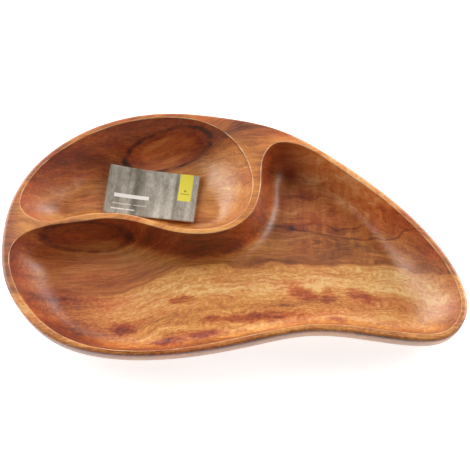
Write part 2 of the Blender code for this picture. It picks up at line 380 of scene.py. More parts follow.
def wall_profile(steps, reach=1.0, sweep=2.0):
    """A well's wall: the eased arris, the leaning wall and the sweep into the floor.

    A greater reach and sweep let the foot of the wall fade into the floor more softly."""
    guard = [(0.0, -WELL_GUARD, 0.0)]
    eased = [
        (0.0, -ARRIS * (1.0 - math.sin(a)), -ARRIS * (1.0 - math.cos(a)))
        for a in np.linspace(0.0, math.pi / 2.0, ARRIS_ROWS + 1)[:-1]
    ]
    fall = WELL_DEPTH - ARRIS
    wall = [
        (reach * (2 * t * (1 - t) * WALL_LEAN + t**2), 0.0, -ARRIS - fall * (1 - (1 - t) ** sweep))
        for t in np.linspace(0.0, 1.0, steps + 1)
    ]
    return guard + eased + wall


def side_profile(steps):
    """The outer side: the rounded rim edge, then the sweep under to the flat base."""
    guard = [(0.0, SIDE_GUARD, 0.0)]
    upright = -OUTER_ROUND
    shoulder = -TOP * SIDE_FULLNESS
    sweep = [
        (t**2, 0.0, (1 - t) ** 2 * upright + 2 * t * (1 - t) * shoulder - t**2 * TOP)
        for t in np.linspace(0.0, 1.0, steps + 1)[1:]
    ]
    return guard + rounded_corner(OUTER_ROUND, CORNER_ROWS) + sweep


def points_object(name, points, edges=(), inward=None):
    """Points, and edges between them, that carry an "inward" vector if one is given."""
    data = bpy.data.meshes.new(name)
    data.from_pydata([tuple(point) for point in points], edges, [])
    if inward is not None:
        data.attributes.new("inward", "FLOAT_VECTOR", "POINT")
        data.attributes["inward"].data.foreach_set("vector", np.asarray(inward).ravel())
    thing = bpy.data.objects.new(name, data)
    bpy.context.scene.collection.objects.link(thing)
    return thing


print("rim edge:", len(rounded_corner(OUTER_ROUND, CORNER_ROWS)), "rows")

# %% Carve the side and the two wells
OUTLINE_STEPS = 24
WELL_STEPS = 18
SIDE_ROWS = 26
CHIP_WALL_ROWS = 36
DIP_WALL_ROWS = 32
# The chip well's wall fades into its floor more softly than the dip well's.
CHIP_WALL_REACH = 1.12
CHIP_WALL_SWEEP = 2.5
# From the lowest to the highest point of the unevenness, in metres, and its waves in a metre.
SANDING_UNEVENNESS = 0.0006
SANDING_SCALE = 22.0


def carved_band(name, edge, foot, profile, seed, unevenness, material):
    """One curved face: the profile carried round the line from edge to foot, as a plain mesh."""
    count = len(edge)
    ring = points_object(
        name + "_line", np.column_stack([edge, np.zeros(count)]),
        [(i, (i + 1) % count) for i in range(count)],
        np.column_stack([foot - edge, np.zeros(count)]),
    )
    shape = points_object(name + "_profile", profile)
    modifier = ring.modifiers.new("carve", "NODES")
    modifier.node_group = carving_tree
    values = {
        "Profile": shape, "Top Height": TOP, "Unevenness": unevenness,
        "Unevenness Scale": SANDING_SCALE, "Seed": seed, "Material": material,
    }
    for item in carving_tree.interface.items_tree:
        if item.in_out == "INPUT" and item.name in values:
            modifier[item.identifier] = values[item.name]
    evaluated = ring.evaluated_get(bpy.context.evaluated_depsgraph_get())
    surface = bpy.data.meshes.new_from_object(evaluated)
    for helper in (ring, shape):
        bpy.data.objects.remove(helper, do_unlink=True)
    print(name, len(surface.vertices), "points")
    return surface


oiled_acacia = bpy.data.materials.new("oiled_acacia_plank")
outer_line = closed_curve(outline, OUTLINE_STEPS)
ahead = np.roll(outer_line, -1, axis=0)
behind = np.roll(outer_line, 1, axis=0)
base_line = outer_line + left_normals(ahead - behind) * SIDE_INSET
chip_line = closed_curve(chip_edge, WELL_STEPS)
chip_foot = closed_curve(chip_floor, WELL_STEPS)
dip_line = closed_curve(dip_edge, WELL_STEPS)
dip_foot = closed_curve(dip_floor, WELL_STEPS)
side_shape = side_profile(SIDE_ROWS)
chip_shape = wall_profile(CHIP_WALL_ROWS, CHIP_WALL_REACH, CHIP_WALL_SWEEP)
dip_shape = wall_profile(DIP_WALL_ROWS)
carved_faces = [
    carved_band("side", outer_line, base_line, side_shape, 1.0, 0.0, oiled_acacia),
    carved_band("chip_well", chip_line, chip_foot, chip_shape, 2.0, SANDING_UNEVENNESS,
                oiled_acacia),
    carved_band("dip_well", dip_line, dip_foot, dip_shape, 3.0, SANDING_UNEVENNESS,
                oiled_acacia),
]

# %% [markdown]
# ## Closing the tray
# The bands meet flat faces: the rim's top, the base and the two floors.  The top and the base are
# truly flat.  A gouged floor is not, so each floor gets a net of small triangles and dips by about a
# millimetre towards its middle, which lets light run softly across it.

# %% Fill the flat faces and join everything
FLOOR_DISH = 0.0012
DISH_REACH = 0.045
FLOOR_NET = 0.0045
# In a net of equal triangles, a row's height is 0.87 of a side.
ROW_HEIGHT = 0.87 * FLOOR_NET
# Points nearer than this to the wall would make slivers.
NET_MARGIN = 0.6 * FLOOR_NET
# The part of the arris that gets a painted highlight, as shares of its drop.
ARRIS_HIGHLIGHT_FROM = 0.03
ARRIS_HIGHLIGHT_TO = 0.6


def boundary_loops(mesh):
    """Closed runs of points along the mesh's open edges."""
    loops = []
    free = {edge for edge in mesh.edges if edge.is_boundary}
    while free:
        edge = free.pop()
        run = [edge.verts[0], edge.verts[1]]
        while True:
            following = [e for e in run[-1].link_edges if e in free]
            if not following:
                break
            free.discard(following[0])
            run.append(following[0].other_vert(run[-1]))
        loops.append(run[:-1] if run[-1] is run[0] else run)
    return loops


def distance_to_line(points, line):
    """How far each point is from the nearest point of a closely sampled line."""
    return np.array([np.linalg.norm(line - point, axis=1).min() for point in points])


def add_floor(mesh, loop):
    """Close a well with a net of triangles that dips gently towards the middle."""
    line = np.array([vert.co[:2] for vert in loop])
    height = loop[0].co.z
    low, high = line.min(axis=0), line.max(axis=0)
    rows = []
    for j, y in enumerate(np.arange(low[1], high[1], ROW_HEIGHT)):
        shift = (j % 2) * FLOOR_NET / 2.0
        rows += [(x, y) for x in np.arange(low[0] + shift, high[0], FLOOR_NET)]
    net = np.array(rows)
    net = net[distance_to_line(net, line) > NET_MARGIN]
    flat = [Vector(point) for point in np.vstack([line, net])]
    count = len(line)
    ring = [(i, (i + 1) % count) for i in range(count)]
    points, _, faces, origins, _, _ = delaunay_2d_cdt(flat, ring, [], 1, 1e-7)
    made = {}
    inside = {i for face in faces for i in face}
    depth = distance_to_line(np.array(points), line)
    for i in inside:
        source = [k for k in origins[i] if k < count]
        if source:
            made[i] = loop[source[0]]
            continue
        share = min(depth[i] / DISH_REACH, 1.0)
        dip = FLOOR_DISH * share**2 * (3.0 - 2.0 * share)
        made[i] = mesh.verts.new((points[i].x, points[i].y, height - dip))
    for face in faces:
        mesh.faces.new([made[i] for i in face])


def mark_arris_highlight(mesh, first):
    """Mark a painted highlight on the eased arris of the wells, whose points start at this place in
    the mesh.
    """
    arris_highlight = mesh.verts.layers.float.new("arris_highlight")
    mesh.verts.ensure_lookup_table()
    for vert in mesh.verts[first:]:
        drop = (TOP - vert.co.z) / ARRIS
        vert[arris_highlight] = 1.0 if ARRIS_HIGHLIGHT_FROM < drop < ARRIS_HIGHLIGHT_TO else 0.0


def join_tray(surfaces):
    """One closed mesh from the curved faces, the flat top and base, and the two floors."""
    mesh = bmesh.new()
    starts = []
    for surface in surfaces:
        starts.append(len(mesh.verts))
        mesh.from_mesh(surface)
        bpy.data.meshes.remove(surface)
    mark_arris_highlight(mesh, starts[1])
    loops = boundary_loops(mesh)
    top = [loop for loop in loops if loop[0].co.z > TOP - SAME_PLACE]
    base = [loop for loop in loops if loop[0].co.z < SAME_PLACE]
    floors = [loop for loop in loops if SAME_PLACE < loop[0].co.z < TOP - SAME_PLACE]
    print("open lines:", len(top), "at the top,", len(base), "at the base,", len(floors), "floors")
    for loop in floors:
        add_floor(mesh, loop)
    for flat in (top, base):
        edges = [
            mesh.edges.get((loop[i - 1], loop[i])) for loop in flat for i in range(len(loop))
        ]
        # The rim's top has a hole for each well, which a triangle fill leaves open.
        bmesh.ops.triangle_fill(mesh, edges=edges, use_beauty=True)
    bmesh.ops.recalc_face_normals(mesh, faces=mesh.faces)
    for face in mesh.faces:
        face.smooth = True
    data = bpy.data.meshes.new("tray_wood")
    mesh.to_mesh(data)
    open_edges = sum(edge.is_boundary for edge in mesh.edges)
    print("tray:", len(mesh.faces), "faces,", open_edges, "open edges,",
          round(mesh.calc_volume() * 1e6), "cm3 of wood")
    mesh.free()
    data.materials.clear()
    data.materials.append(oiled_acacia)
    piece = bpy.data.objects.new("tray_wood", data)
    bpy.context.scene.collection.objects.link(piece)
    return piece


tray_wood = join_tray(carved_faces)
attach(tray_wood, "tray")
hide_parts("carved_tray")

# %% [markdown]
# ## Oiled acacia
# Acacia is a dense brown hardwood whose growth layers change colour from dark chocolate to gold
# within a hand's breadth.  A carved bowl cuts through those layers, so a line that runs along the
# floor goes on up the wall and over the rim, and closes into an "eye" where the gouge only just
# reaches the next layer.  A texture painted on the faces couldn't do that.  Here the wood is solid:
# one number, the height in the growth layers, is worked out for every point of the block, and
# every face shows whatever layer it cuts.  All sizes below are in millimetres.

# %% Where in the block, in millimetres
oiled_acacia.use_nodes = True
wood = oiled_acacia.node_tree
wood.nodes.clear()
in_metres = add(wood, "ShaderNodeTexCoord").outputs["Object"]
mm = add(wood, "ShaderNodeVectorMath", {0: in_metres, 1: (1000.0, 1000.0, 1000.0)},
         operation="MULTIPLY").outputs[0]
along, across, up = add(wood, "ShaderNodeSeparateXYZ", {0: mm}).outputs


def grain_noise(source, lengths, detail=2.0, seed=0.0):
    """Soft noise from 0 to 1 whose features have these lengths, in mm, along X, Y and Z."""
    size = tuple(1.0 / length for length in lengths)
    spread = add(source.id_data, "ShaderNodeVectorMath", {0: source, 1: size, 2: (seed,) * 3},
                 operation="MULTIPLY_ADD")
    noise = add(source.id_data, "ShaderNodeTexNoise", {
        "Vector": spread.outputs[0], "Scale": 1.0, "Detail": detail, "Roughness": 0.55,
    })
    return noise.outputs[0]


def eased(value, start, end, low=0.0, high=1.0, curve="SMOOTHSTEP"):
    """A value that goes from low to high as the input goes from start to end."""
    node = add(value.id_data, "ShaderNodeMapRange", {
        "Value": value, "From Min": start, "From Max": end, "To Min": low, "To Max": high,
    }, interpolation_type=curve)
    return node.outputs[0]


def combined(first, *others, operation="ADD"):
    """Several values added (or multiplied) together."""
    for other in others:
        node = add(first.id_data, "ShaderNodeMath", {0: first, 1: other}, operation=operation)
        first = node.outputs[0]
    return first


def distance_in_block(centre, radii, turn):
    """Distance from a centre, in radii, of an egg turned by these three angles in degrees."""
    place = add(wood, "ShaderNodeMapping", {
        "Vector": mm, "Location": centre, "Scale": radii,
        "Rotation": tuple(math.radians(angle) for angle in turn),
    }, vector_type="TEXTURE")
    return add(wood, "ShaderNodeVectorMath", {0: place.outputs[0]},
               operation="LENGTH").outputs["Value"]


print("the plank's own coordinates:", len(wood.nodes), "nodes")

# %% Places that have a look of their own, as eggs of (centre, radii, turn in degrees)
DIP_EYE = ((-67.0, 106.5, 20.0), (47.0, 20.0, 60.0), (24.4, -7.4, 15.9))
CHIP_EYE = ((-147.0, 1.0, 28.0), (44.0, 16.0, 60.0), (25.5, 0.0, -2.0))
# The wood at the far side of the narrow end is curly.
CURLY_WOOD = ((105.0, 34.0, 30.0), (72.0, 52.0, 70.0), (0.0, 0.0, -20.0))
# The far wall, the lobe's wall, the divider's foot and the dip well's end carry painted light and
# shade.
FAR_WALL = ((100.0, 70.0, 38.0), (88.0, 22.0, 50.0), (0.0, 0.0, -38.0))
LOBE_WALL = ((36.0, 48.0, 28.0), (15.0, 52.0, 40.0), (0.0, 0.0, 0.0))
DIVIDER_FOOT = ((-45.0, -4.0, 26.0), (120.0, 22.0, 50.0), (0.0, 0.0, 0.0))
DIP_END = ((-6.0, 66.0, 30.0), (36.0, 50.0, 50.0), (0.0, 0.0, 0.0))
dip_eye = distance_in_block(*DIP_EYE)
chip_eye = distance_in_block(*CHIP_EYE)
far_wall = distance_in_block(*FAR_WALL)
lobe_wall = distance_in_block(*LOBE_WALL)
divider_foot = distance_in_block(*DIVIDER_FOOT)
dip_end = distance_in_block(*DIP_END)
figured = eased(distance_in_block(*CURLY_WOOD), 1.25, 0.5)
print("with the places:", len(wood.nodes), "nodes")

# %% [markdown]
# ### Growth layers
# In a real plank the layers are thin shells that lie one over another along the tree.  They could
# be waves of a Wave Texture, but those are even, and these are not.  Here the height in the layers
# starts as the distance across the plank.  The layers lean a little with height and swing towards
# the near side at the left.  Slow drift and soft swirls bend them, and both are small along the
# sharp seam between dark and golden wood.  The layers swell into an eye in each well.

# %% Height in the growth layers
SEAM = -24.0
swirl = grain_noise(mm, (38.0, 15.0, 18.0), detail=1.0, seed=3.3)
seam_layer = combined(
    across,
    combined(eased(swirl, 0.0, 1.0, -9.0, 9.0, "LINEAR"), eased(along, -90.0, -30.0),
             eased(across, 40.0, 0.0, 0.3, 1.0), eased(up, 40.0, 49.0, 1.0, 0.3),
             operation="MULTIPLY"),
    eased(up, 0.0, 60.0, -4.0, 17.0, "LINEAR"),
    eased(along, -30.0, -130.0, 0.0, 33.0),
    eased(along, 150.0, 205.0, 0.0, 12.0),
)
from_seam = add(wood, "ShaderNodeMath", {0: combined(seam_layer, -SEAM)}, operation="ABSOLUTE")
drift = combined(
    eased(grain_noise(mm, (130.0, 46.0, 50.0), seed=3.7), 0.0, 1.0, -14.0, 14.0, "LINEAR"),
    eased(from_seam.outputs[0], 4.0, 50.0, 0.12, 1.0),
    operation="MULTIPLY",
)
layer = combined(
    seam_layer, drift, eased(dip_eye, 1.9, 0.3, 0.0, 22.0), eased(chip_eye, 1.9, 0.3, 0.0, 20.0),
)
wobble = grain_noise(mm, (13.0, 6.0, 7.0), detail=4.0, seed=9.1)
rough_layer = combined(
    layer,
    combined(eased(wobble, 0.0, 1.0, -2.4, 2.4, "LINEAR"), eased(up, 44.0, 49.5, 1.0, 0.4),
             operation="MULTIPLY"),
    combined(eased(swirl, 0.0, 1.0, -13.0, 13.0, "LINEAR"), figured,
             eased(from_seam.outputs[0], 2.0, 20.0), operation="MULTIPLY"),
)
in_layers = add(wood, "ShaderNodeCombineXYZ", {"X": along, "Y": rough_layer, "Z": up}).outputs[0]
print("with the growth layers:", len(wood.nodes), "nodes")

# %% Tone of each layer, from dark (0) to light (1)
LAYER_TONES = (
    (-150, 0.54), (-118, 0.52), (-104, 0.48), (-92, 0.60), (-80, 0.68), (-68, 0.62), (-56, 0.73),
    (-46, 0.83), (-31, 0.79), (-25, 0.68), (-22, 0.45), (-14, 0.48), (-4, 0.54), (10, 0.56),
    (26, 0.53), (44, 0.60), (66, 0.57), (88, 0.57), (112, 0.45), (134, 0.32), (150, 0.47),
    (200, 0.48),
)
FIRST_LAYER = float(LAYER_TONES[0][0])
LAST_LAYER = float(LAYER_TONES[-1][0])


def set_stops(colour_ramp, stops, blend="LINEAR"):
    """Give a ramp its stops of (place, colour), where a number stands for a grey."""
    colour_ramp.interpolation = blend
    elements = colour_ramp.elements
    while len(elements) < len(stops):
        elements.new(0.5)
    for element, (place, colour) in zip(elements, stops):
        element.position = place
        element.color = linear(colour) if isinstance(colour, str) else (colour,) * 3 + (1.0,)


layer_share = eased(rough_layer, FIRST_LAYER, LAST_LAYER, 0.0, 1.0, "LINEAR")
tone_ramp = add(wood, "ShaderNodeValToRGB", {"Fac": layer_share})
set_stops(tone_ramp.color_ramp, [
    ((at - FIRST_LAYER) / (LAST_LAYER - FIRST_LAYER), grey) for at, grey in LAYER_TONES
], "EASE")
tone = tone_ramp.outputs["Color"]
print(len(LAYER_TONES), "growth layers")

# %% [markdown]
# ### Grain
# Up close a layer isn't one colour.  It holds broad bands, long streaks, fine fibres and, in the
# golden wood, tight curls.  Each is a noise that is stretched along the plank, with its size in
# millimetres.  The noise is read in the layers' own space, so the grain bends with them.

# %% Bands, streaks and fibres
bands = grain_noise(in_layers, (90.0, 11.0, 24.0), detail=2.0, seed=5.9)
streaks = grain_noise(in_layers, (70.0, 3.4, 9.0), detail=4.0, seed=1.3)
fibres = grain_noise(in_layers, (15.0, 1.4, 2.4), detail=3.0, seed=7.7)
golden = eased(rough_layer, SEAM + 4.0, SEAM - 4.0)
# Streaks are fainter at the left, in the golden wood and on the flat top.
calm = combined(
    eased(along, -60.0, -120.0, 1.0, 0.6), eased(golden, 0.0, 1.0, 1.0, 0.7),
    eased(up, 46.0, 49.5, 1.0, 0.6), operation="MULTIPLY",
)
tone = combined(
    tone,
    eased(bands, 0.25, 0.75, -0.14, 0.14, "LINEAR"),
    combined(eased(streaks, 0.25, 0.75, -0.11, 0.11, "LINEAR"), calm, operation="MULTIPLY"),
    eased(fibres, 0.25, 0.75, -0.13, 0.13, "LINEAR"),
)
print("with bands, streaks and fibres:", len(wood.nodes), "nodes")

# %% Where the wood is darker or lighter than its layer, with painted light and shade
# The steep walls are painted darker and redder than the floor and rim: painted shade.
facing = add(wood, "ShaderNodeNewGeometry").outputs["Normal"]
slope = add(wood, "ShaderNodeSeparateXYZ", {0: facing}).outputs["Z"]
walls = combined(eased(slope, 0.85, 0.35), eased(slope, -0.1, 0.1), operation="MULTIPLY")
tone = combined(
    tone,
    # The golden layers darken towards the left end, below the rim.
    combined(eased(along, -100.0, -175.0, 0.0, -0.36), golden, eased(up, 42.0, 49.0, 1.0, 0.2),
             operation="MULTIPLY"),
    # The two ends of the plank.
    eased(along, -208.0, -222.0, 0.0, -0.15),
    eased(along, 202.0, 220.0, 0.0, -0.12),
    # The flat top beside the dip well's round end.
    combined(eased(dip_end, 1.5, 0.9), eased(up, 47.0, 49.0), -0.07, operation="MULTIPLY"),
    # The eyes: the chip well's is dark with a paler heart, and the dip well's is pale.
    eased(chip_eye, 1.2, 0.5, 0.0, -0.12),
    eased(dip_eye, 0.95, 0.5, 0.0, 0.22),
    eased(chip_eye, 0.85, 0.4, 0.0, 0.10),
    # Single walls lighter or darker than their layers: painted light on the far wall, painted
    # shade on the lobe's wall, a painted sheen at the dip well's end, painted shade on all walls.
    eased(far_wall, 1.2, 0.4, 0.0, 0.31),
    eased(lobe_wall, 1.2, 0.5, 0.0, -0.10),
    eased(dip_end, 1.2, 0.5, 0.0, 0.11),
    eased(walls, 0.0, 1.0, 0.0, -0.10),
    # The divider's steep face is darker, a painted shade, and the sweep at its foot is paler, painted
    # light.
    combined(eased(divider_foot, 1.2, 0.4), eased(slope, 0.45, 0.75, -0.12, 0.16),
             operation="MULTIPLY"),
    # The near wall of the chip well is darker: painted shade.
    combined(walls, eased(layer, -70.0, -92.0, 0.0, -0.25), operation="MULTIPLY"),
    # The dark wood just beyond the seam, in the middle of the chip well.
    combined(eased(along, 10.0, 60.0, 0.0, -0.12), eased(along, 100.0, 160.0, 1.0, 0.0),
             eased(layer, 8.0, 30.0, 1.0, 0.0), eased(golden, 1.0, 0.0), operation="MULTIPLY"),
)
print("with the darker and lighter places:", len(wood.nodes), "nodes")

# %% Curly wood
figure = grain_noise(in_layers, (6.0, 20.0, 22.0), detail=2.0, seed=3.1)
curl = grain_noise(in_layers, (3.6, 1.6, 2.6), detail=2.0, seed=2.2)
tone = combined(
    tone,
    combined(eased(figure, 0.3, 0.7, -0.11, 0.11, "LINEAR"), eased(figured, 0.0, 1.0, 0.1, 1.0),
             operation="MULTIPLY"),
    combined(eased(curl, 0.3, 0.7, -0.13, 0.13, "LINEAR"), eased(golden, 0.0, 1.0, 0.3, 1.0),
             operation="MULTIPLY"),
)
print("with the curly wood:", len(wood.nodes), "nodes")

# %% [markdown]
# ### Rings, gum and flames
# Where an eye closes, its layer shows as one dark ring.  A thread of dark gum crosses the wide end
# of the chip well, and short reddish flames lie in the golden wood.  Noise can't be told where to
# put them, so each has a place of its own.  A ragged edge keeps them from looking drawn.

# %% Rings round the eyes, and the gum line
patchy = grain_noise(mm, (16.0, 10.0, 14.0), detail=2.0, seed=8.8)


def dark_line(distance, middle, half_width):
    """1 on a line at this distance, falling softly to 0 beside it."""
    off = combined(distance, middle, operation="SUBTRACT")
    off = add(off.id_data, "ShaderNodeMath", {0: off}, operation="ABSOLUTE")
    return eased(off.outputs[0], half_width, half_width * 0.15)


ragged = eased(wobble, 0.0, 1.0, -0.10, 0.10, "LINEAR")
rings = combined(
    combined(dark_line(combined(dip_eye, ragged), 1.0, 0.11), 0.26, operation="MULTIPLY"),
    combined(dark_line(combined(chip_eye, ragged), 0.98, 0.20), 0.22, operation="MULTIPLY"),
    combined(dark_line(combined(dip_eye, ragged), 0.72, 0.10), 0.08, operation="MULTIPLY"),
)
rings = combined(rings, eased(patchy, 0.33, 0.6, 0.35, 1.25), operation="MULTIPLY")
gum = add(wood, "ShaderNodeMath", {
    0: combined(seam_layer, eased(wobble, 0.0, 1.0, -2.6, 2.6, "LINEAR")),
    1: eased(along, 35.0, 118.0, 24.0, 7.5),
}, operation="SUBTRACT").outputs[0]
gum = combined(gum, eased(along, 162.0, 182.0, 0.0, -14.0))
gum = combined(
    dark_line(gum, 0.0, 1.4), eased(along, 26.0, 44.0), eased(patchy, 0.3, 0.6, 0.08, 0.26),
    operation="MULTIPLY",
)
print("with rings and gum:", len(wood.nodes), "nodes")

# %% Flames, each at a (centre, radii, turn in degrees)
FLAME_DARKNESS = 0.26
warp = grain_noise(mm, (14.0, 5.0, 8.0), detail=4.0, seed=4.6)
warp_step = eased(warp, 0.0, 1.0, -1.1, 1.1, "LINEAR")
FLAMES = (
    ((70.0, -52.0, 12.0), (19.0, 8.0, 40.0), -24.0), ((96.0, -58.0, 12.0), (9.0, 8.0, 40.0), 0.0),
    ((128.0, -56.0, 12.0), (19.0, 7.0, 40.0), -18.0), ((18.0, -80.0, 12.0), (44.0, 6.0, 40.0), 4.0),
    ((104.0, -84.0, 12.0), (10.0, 4.0, 40.0), 0.0), ((-110.0, -92.0, 12.0), (15.0, 8.0, 40.0), 0.0),
    ((-61.0, -106.0, 14.0), (18.0, 6.0, 40.0), 12.0), ((-28.0, -98.0, 12.0), (22.0, 5.0, 40.0), 2.0),
    ((-20.0, -82.0, 12.0), (12.0, 5.0, 40.0), 5.0), ((-51.0, -60.0, 12.0), (13.0, 5.0, 40.0), 6.0),
)
flames = [
    eased(combined(distance_in_block(centre, radii, (0.0, 0.0, turn)), warp_step), 1.3, 0.3)
    for centre, radii, turn in FLAMES
]
flame = flames[0]
for other in flames[1:]:
    flame = add(wood, "ShaderNodeMath", {0: flame, 1: other}, operation="MAXIMUM").outputs[0]
darkening = combined(rings, gum, combined(flame, FLAME_DARKNESS, operation="MULTIPLY"))
tone = add(wood, "ShaderNodeMath", {0: tone, 1: darkening}, operation="SUBTRACT").outputs[0]
print(len(FLAMES), "flames")

# %% [markdown]
# ### Colour and finish
# One tone from dark to light isn't enough, because parts of the plank are redder than others.  Two
# ramps share the tone, one golden and one red, and a second number mixes them.  Oil and wax give a
# soft sheen with no hard mirror, which a rough coat over rough wood gives too.

# %% Colour of the wood
GOLD = (
    (0.00, "2e1307"), (0.14, "572a0f"), (0.30, "844517"), (0.45, "a96125"), (0.60, "c97f36"),
    (0.76, "e09b4d"), (0.95, "f2c67f"),
)
RED = (
    (0.00, "2c0b02"), (0.14, "5a1a03"), (0.30, "88310a"), (0.45, "aa4b16"), (0.60, "c56527"),
    (0.76, "d7803d"), (0.95, "e8a86c"),
)
# The left end, the near edge, the far layers, the lobe, the dip well's eye, slow patches and
# the flames are redder.  The walls, and above all the divider's, are redder too: painted shade.
# The dip well's round end is more golden, partly the wood and partly a painted sheen.  The outer
# side is less red than the rest: painted light from the pale floor.
redness = combined(
    combined(eased(along, -60.0, -150.0, 0.0, 0.5), eased(up, 46.0, 49.5, 1.0, 0.2),
             eased(layer, 60.0, 15.0, 0.2, 1.0), operation="MULTIPLY"),
    combined(walls, 0.45, operation="MULTIPLY"),
    combined(eased(layer, -78.0, -100.0), eased(along, 0.0, -60.0, 0.0, 0.35),
             operation="MULTIPLY"),
    eased(dip_end, 1.2, 0.5, 0.0, -0.55),
    eased(layer, 95.0, 125.0, 0.0, 0.25),
    combined(eased(layer, -5.0, 35.0), eased(along, 15.0, 80.0, 0.0, 0.75), operation="MULTIPLY"),
    combined(walls, eased(divider_foot, 1.2, 0.4, 0.0, 0.4), operation="MULTIPLY"),
    eased(dip_eye, 1.1, 0.7, 0.0, 0.5),
    eased(grain_noise(in_layers, (60.0, 16.0, 30.0), seed=6.4), 0.45, 0.75, 0.0, 0.7),
    combined(flame, 0.8, operation="MULTIPLY"),
)
outside = eased(slope, 0.05, -0.15)
redness = combined(redness, eased(outside, 0.0, 1.0, 1.0, 0.4), operation="MULTIPLY")
palettes = []
for palette in (GOLD, RED):
    palette_ramp = add(wood, "ShaderNodeValToRGB", {"Fac": tone})
    set_stops(palette_ramp.color_ramp, palette)
    palettes.append(palette_ramp.outputs["Color"])
mixed = add(wood, "ShaderNodeMix", {0: redness, 6: palettes[0], 7: palettes[1]},
            data_type="RGBA", clamp_factor=True)
print(len(GOLD), "golden tones and", len(RED), "red ones")

# %% Pores and finish
# Open pores are dashes a few millimetres long.  They take more oil and go dark, and they break the
# sheen of the hand-rubbed oil and wax.
pores = eased(grain_noise(in_layers, (5.0, 0.8, 0.9), detail=1.0, seed=0.4), 0.62, 0.78)
oiled = add(wood, "ShaderNodeMix", {
    0: combined(pores, 0.35, operation="MULTIPLY"), 6: mixed.outputs[2], 7: linear("4a2410"),
}, data_type="RGBA")
# The sharp inner edge of the rim is painted pale along the eased arris: a painted highlight.
arris_highlight = add(wood, "ShaderNodeAttribute", attribute_name="arris_highlight").outputs["Fac"]
highlighted_arris = add(wood, "ShaderNodeMix", {
    0: combined(arris_highlight, eased(swirl, 0.35, 0.65, 0.15, 0.8), operation="MULTIPLY"),
    6: oiled.outputs[2], 7: linear("ecc28c"),
}, data_type="RGBA", clamp_factor=True)
# The outer side is painted a little paler and greyer: painted light from the pale floor.
floor_lit_side = add(wood, "ShaderNodeMix", {
    0: combined(outside, 0.22, operation="MULTIPLY"), 6: highlighted_arris.outputs[2], 7: linear("c9a88c"),
}, data_type="RGBA")
relief = combined(
    eased(fibres, 0.25, 0.75, 0.0, 0.6, "LINEAR"), combined(pores, -0.8, operation="MULTIPLY"),
)
bump = add(wood, "ShaderNodeBump", {"Height": relief, "Strength": 0.25, "Distance": 0.0003})
shader = add(wood, "ShaderNodeBsdfPrincipled", {
    "Base Color": floor_lit_side.outputs[2], "Normal": bump.outputs[0],
    "Roughness": eased(combined(fibres, pores), 0.3, 1.2, 0.43, 0.55, "LINEAR"),
    "Coat Weight": 0.85, "Coat Roughness": 0.40,
})
add(wood, "ShaderNodeOutputMaterial", {"Surface": shader.outputs[0]})
print("oiled acacia:", len(wood.nodes), "nodes")

# %% [markdown]
# ## The label card
# A printed card of stiff paper lies loose in the dip well.  It was stored against something, so its
# far left corner curls up.  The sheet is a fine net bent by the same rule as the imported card, with
# a thin pale edge where the paper is cut.  Its print is worked out from a UV map that counts in
# millimetres from the card's near left corner.  It shows weathered grey boards and a plain yellow
# tab.  Pale bars stand for the wording, because no lettering is drawn.

# %% The sheet of the card
CARD_SIZE = (0.094, 0.054)
CARD_THICKNESS = 0.0005
CARD_CURL = 0.0070
CARD_CURL_REACH = 0.055
CARD_TURN = math.radians(-6.7)
CARD_NET = (60, 36)
CARD_MIDDLE = (-83, 56)
# The back and the cut edge take their print from here, off the card, where the stock is plain.
UNPRINTED = (-20.0, -20.0)


def card_height(x, y):
    """How far the sheet stands above its flat part, for the curl at its far left corner."""
    corner = np.array([-CARD_SIZE[0], CARD_SIZE[1]]) / 2.0
    from_corner = np.dot(corner - (x, y), corner / np.linalg.norm(corner))
    return CARD_CURL * max(0.0, 1.0 - from_corner / CARD_CURL_REACH) ** 2


def make_card():
    """The card as a closed sheet, with a UV map in millimetres for its print."""
    mesh = bmesh.new()
    print_map = mesh.loops.layers.uv.new("print")
    middle = placed((CARD_MIDDLE,))[0]
    turn = np.array([[math.cos(CARD_TURN), -math.sin(CARD_TURN)],
                     [math.sin(CARD_TURN), math.cos(CARD_TURN)]])
    columns, rows = CARD_NET
    layers = []
    place_of = {}
    for thickness in (CARD_THICKNESS, 0.0):
        layer_verts = []
        for j in range(rows + 1):
            for i in range(columns + 1):
                x = (i / columns - 0.5) * CARD_SIZE[0]
                y = (j / rows - 0.5) * CARD_SIZE[1]
                height = CARD_LOW[2] + thickness + card_height(x, y)
                vert = mesh.verts.new((*(turn @ (x, y) + middle), height))
                place_of[vert] = ((x + CARD_SIZE[0] / 2) * 1000, (y + CARD_SIZE[1] / 2) * 1000)
                layer_verts.append(vert)
        layers.append(layer_verts)
    width = columns + 1
    for j in range(rows):
        for i in range(columns):
            corners = (j * width + i, j * width + i + 1, (j + 1) * width + i + 1, (j + 1) * width + i)
            printed = mesh.faces.new([layers[0][k] for k in corners])
            for loop in printed.loops:
                loop[print_map].uv = place_of[loop.vert]
            mesh.faces.new([layers[1][k] for k in reversed(corners)])
    edges = [edge for edge in mesh.edges if edge.is_boundary]
    cut = set(bmesh.ops.bridge_loops(mesh, edges=edges)["faces"])
    underside = set(layers[1])
    for face in mesh.faces:
        face.smooth = face not in cut
        if face in cut or face.verts[0] in underside:
            for loop in face.loops:
                loop[print_map].uv = UNPRINTED
    bmesh.ops.recalc_face_normals(mesh, faces=mesh.faces)
    data = bpy.data.meshes.new("card_sheet")
    mesh.to_mesh(data)
    print("card:", len(mesh.faces), "faces, volume", round(mesh.calc_volume() * 1e9), "mm3")
    mesh.free()
    piece = bpy.data.objects.new("card_sheet", data)
    bpy.context.scene.collection.objects.link(piece)
    return piece


card_sheet = make_card()
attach(card_sheet, "card")
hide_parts("label_card")

# %% [markdown]
# ### The print
# The real card is printed with a picture of grey boards, in matt ink on stiff stock.  An image
# could hold that, but then its grain would blur up close.  Noise that is long in one direction
# gives the boards, and soft rectangles give the tab and the bars, all in millimetres on the card.

